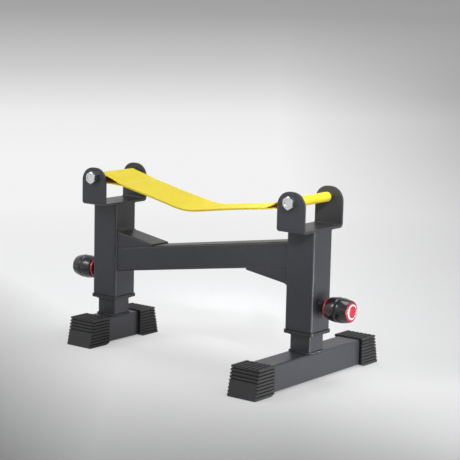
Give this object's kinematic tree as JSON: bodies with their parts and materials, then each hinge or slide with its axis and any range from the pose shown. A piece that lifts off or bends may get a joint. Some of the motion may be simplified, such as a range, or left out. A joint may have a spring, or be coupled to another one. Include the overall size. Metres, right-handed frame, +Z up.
{
  "type": "barbell jack",
  "caption": "Low steel stand with telescopic legs and a webbing strap slung between brackets, made to lift one end of a loaded bar off the floor.",
  "frame": {"origin": "on the floor, midway between the two posts, at the middle of the feet's length", "axes": "+X along the crossbar from the post with the short foot to the post with the long foot; +Y along the feet, away from the bolt heads; +Z up"},
  "size_m": [0.6748, 0.3964, 0.353],
  "materials": {
    "frame_paint": "satin slate powder coat",
    "rubber": "matt black rubber",
    "nylon": "matt black nylon",
    "webbing": "yellow woven webbing",
    "zinc": "bright zinc plate",
    "black_steel": "blackened steel",
    "gloss_black": "gloss black",
    "red": "gloss red"
  },
  "bodies": {
    "frame": {"crossbar": "frame_paint", "lifting_strap": "webbing", "left_upright_tube": "frame_paint", "left_gusset": "frame_paint", "left_guide_sleeve": "nylon", "left_strap_bracket": "frame_paint", "left_strap_bolt": "zinc", "left_strap_washer": "zinc", "left_strap_nut": "zinc", "left_weld_nut": "frame_paint", "left_plunger_barrel": "black_steel", "left_plunger_spring": "zinc", "right_upright_tube": "frame_paint", "right_gusset": "frame_paint", "right_guide_sleeve": "nylon", "right_strap_bracket": "frame_paint", "right_strap_bolt": "zinc", "right_strap_washer": "zinc", "right_strap_nut": "zinc", "right_weld_nut": "frame_paint", "right_plunger_barrel": "black_steel", "right_plunger_spring": "zinc"},
    "left_leg": {"left_leg_tube": "frame_paint", "left_leg_glide": "nylon", "left_foot_tube": "frame_paint", "left_foot_cap_front": "rubber", "left_foot_cap_rear": "rubber"},
    "right_leg": {"right_leg_tube": "frame_paint", "right_leg_glide": "nylon", "right_foot_tube": "frame_paint", "right_foot_cap_front": "rubber", "right_foot_cap_rear": "rubber"},
    "left_plunger": {"left_plunger_pin": "zinc"},
    "right_plunger": {"right_plunger_pin": "zinc"},
    "left_knob": {"left_knob_grip": "gloss_black", "left_knob_ring": "red", "left_knob_disc": "red"},
    "right_knob": {"right_knob_grip": "gloss_black", "right_knob_ring": "red", "right_knob_disc": "red"}
  },
  "joints": [
    {"name": "left_leg_slide", "type": "slide", "parent": "frame", "child": "left_leg", "axis": [0, 0, -1], "range_m": [0, 0.1]},
    {"name": "right_leg_slide", "type": "slide", "parent": "frame", "child": "right_leg", "axis": [0, 0, -1], "range_m": [0, 0.1]},
    {"name": "left_plunger_slide", "type": "slide", "parent": "frame", "child": "left_plunger", "axis": [1, 0, 0], "range_m": [0, 0.007]},
    {"name": "right_plunger_slide", "type": "slide", "parent": "frame", "child": "right_plunger", "axis": [-1, 0, 0], "range_m": [0, 0.007]},
    {"name": "left_knob_turn", "type": "hinge", "parent": "left_plunger", "child": "left_knob", "pos_m": [-0.3, 0, 0.139], "axis": [-1, 0, 0], "continuous": true},
    {"name": "right_knob_turn", "type": "hinge", "parent": "right_plunger", "child": "right_knob", "pos_m": [0.3, 0, 0.139], "axis": [1, 0, 0], "continuous": true}
  ]
}
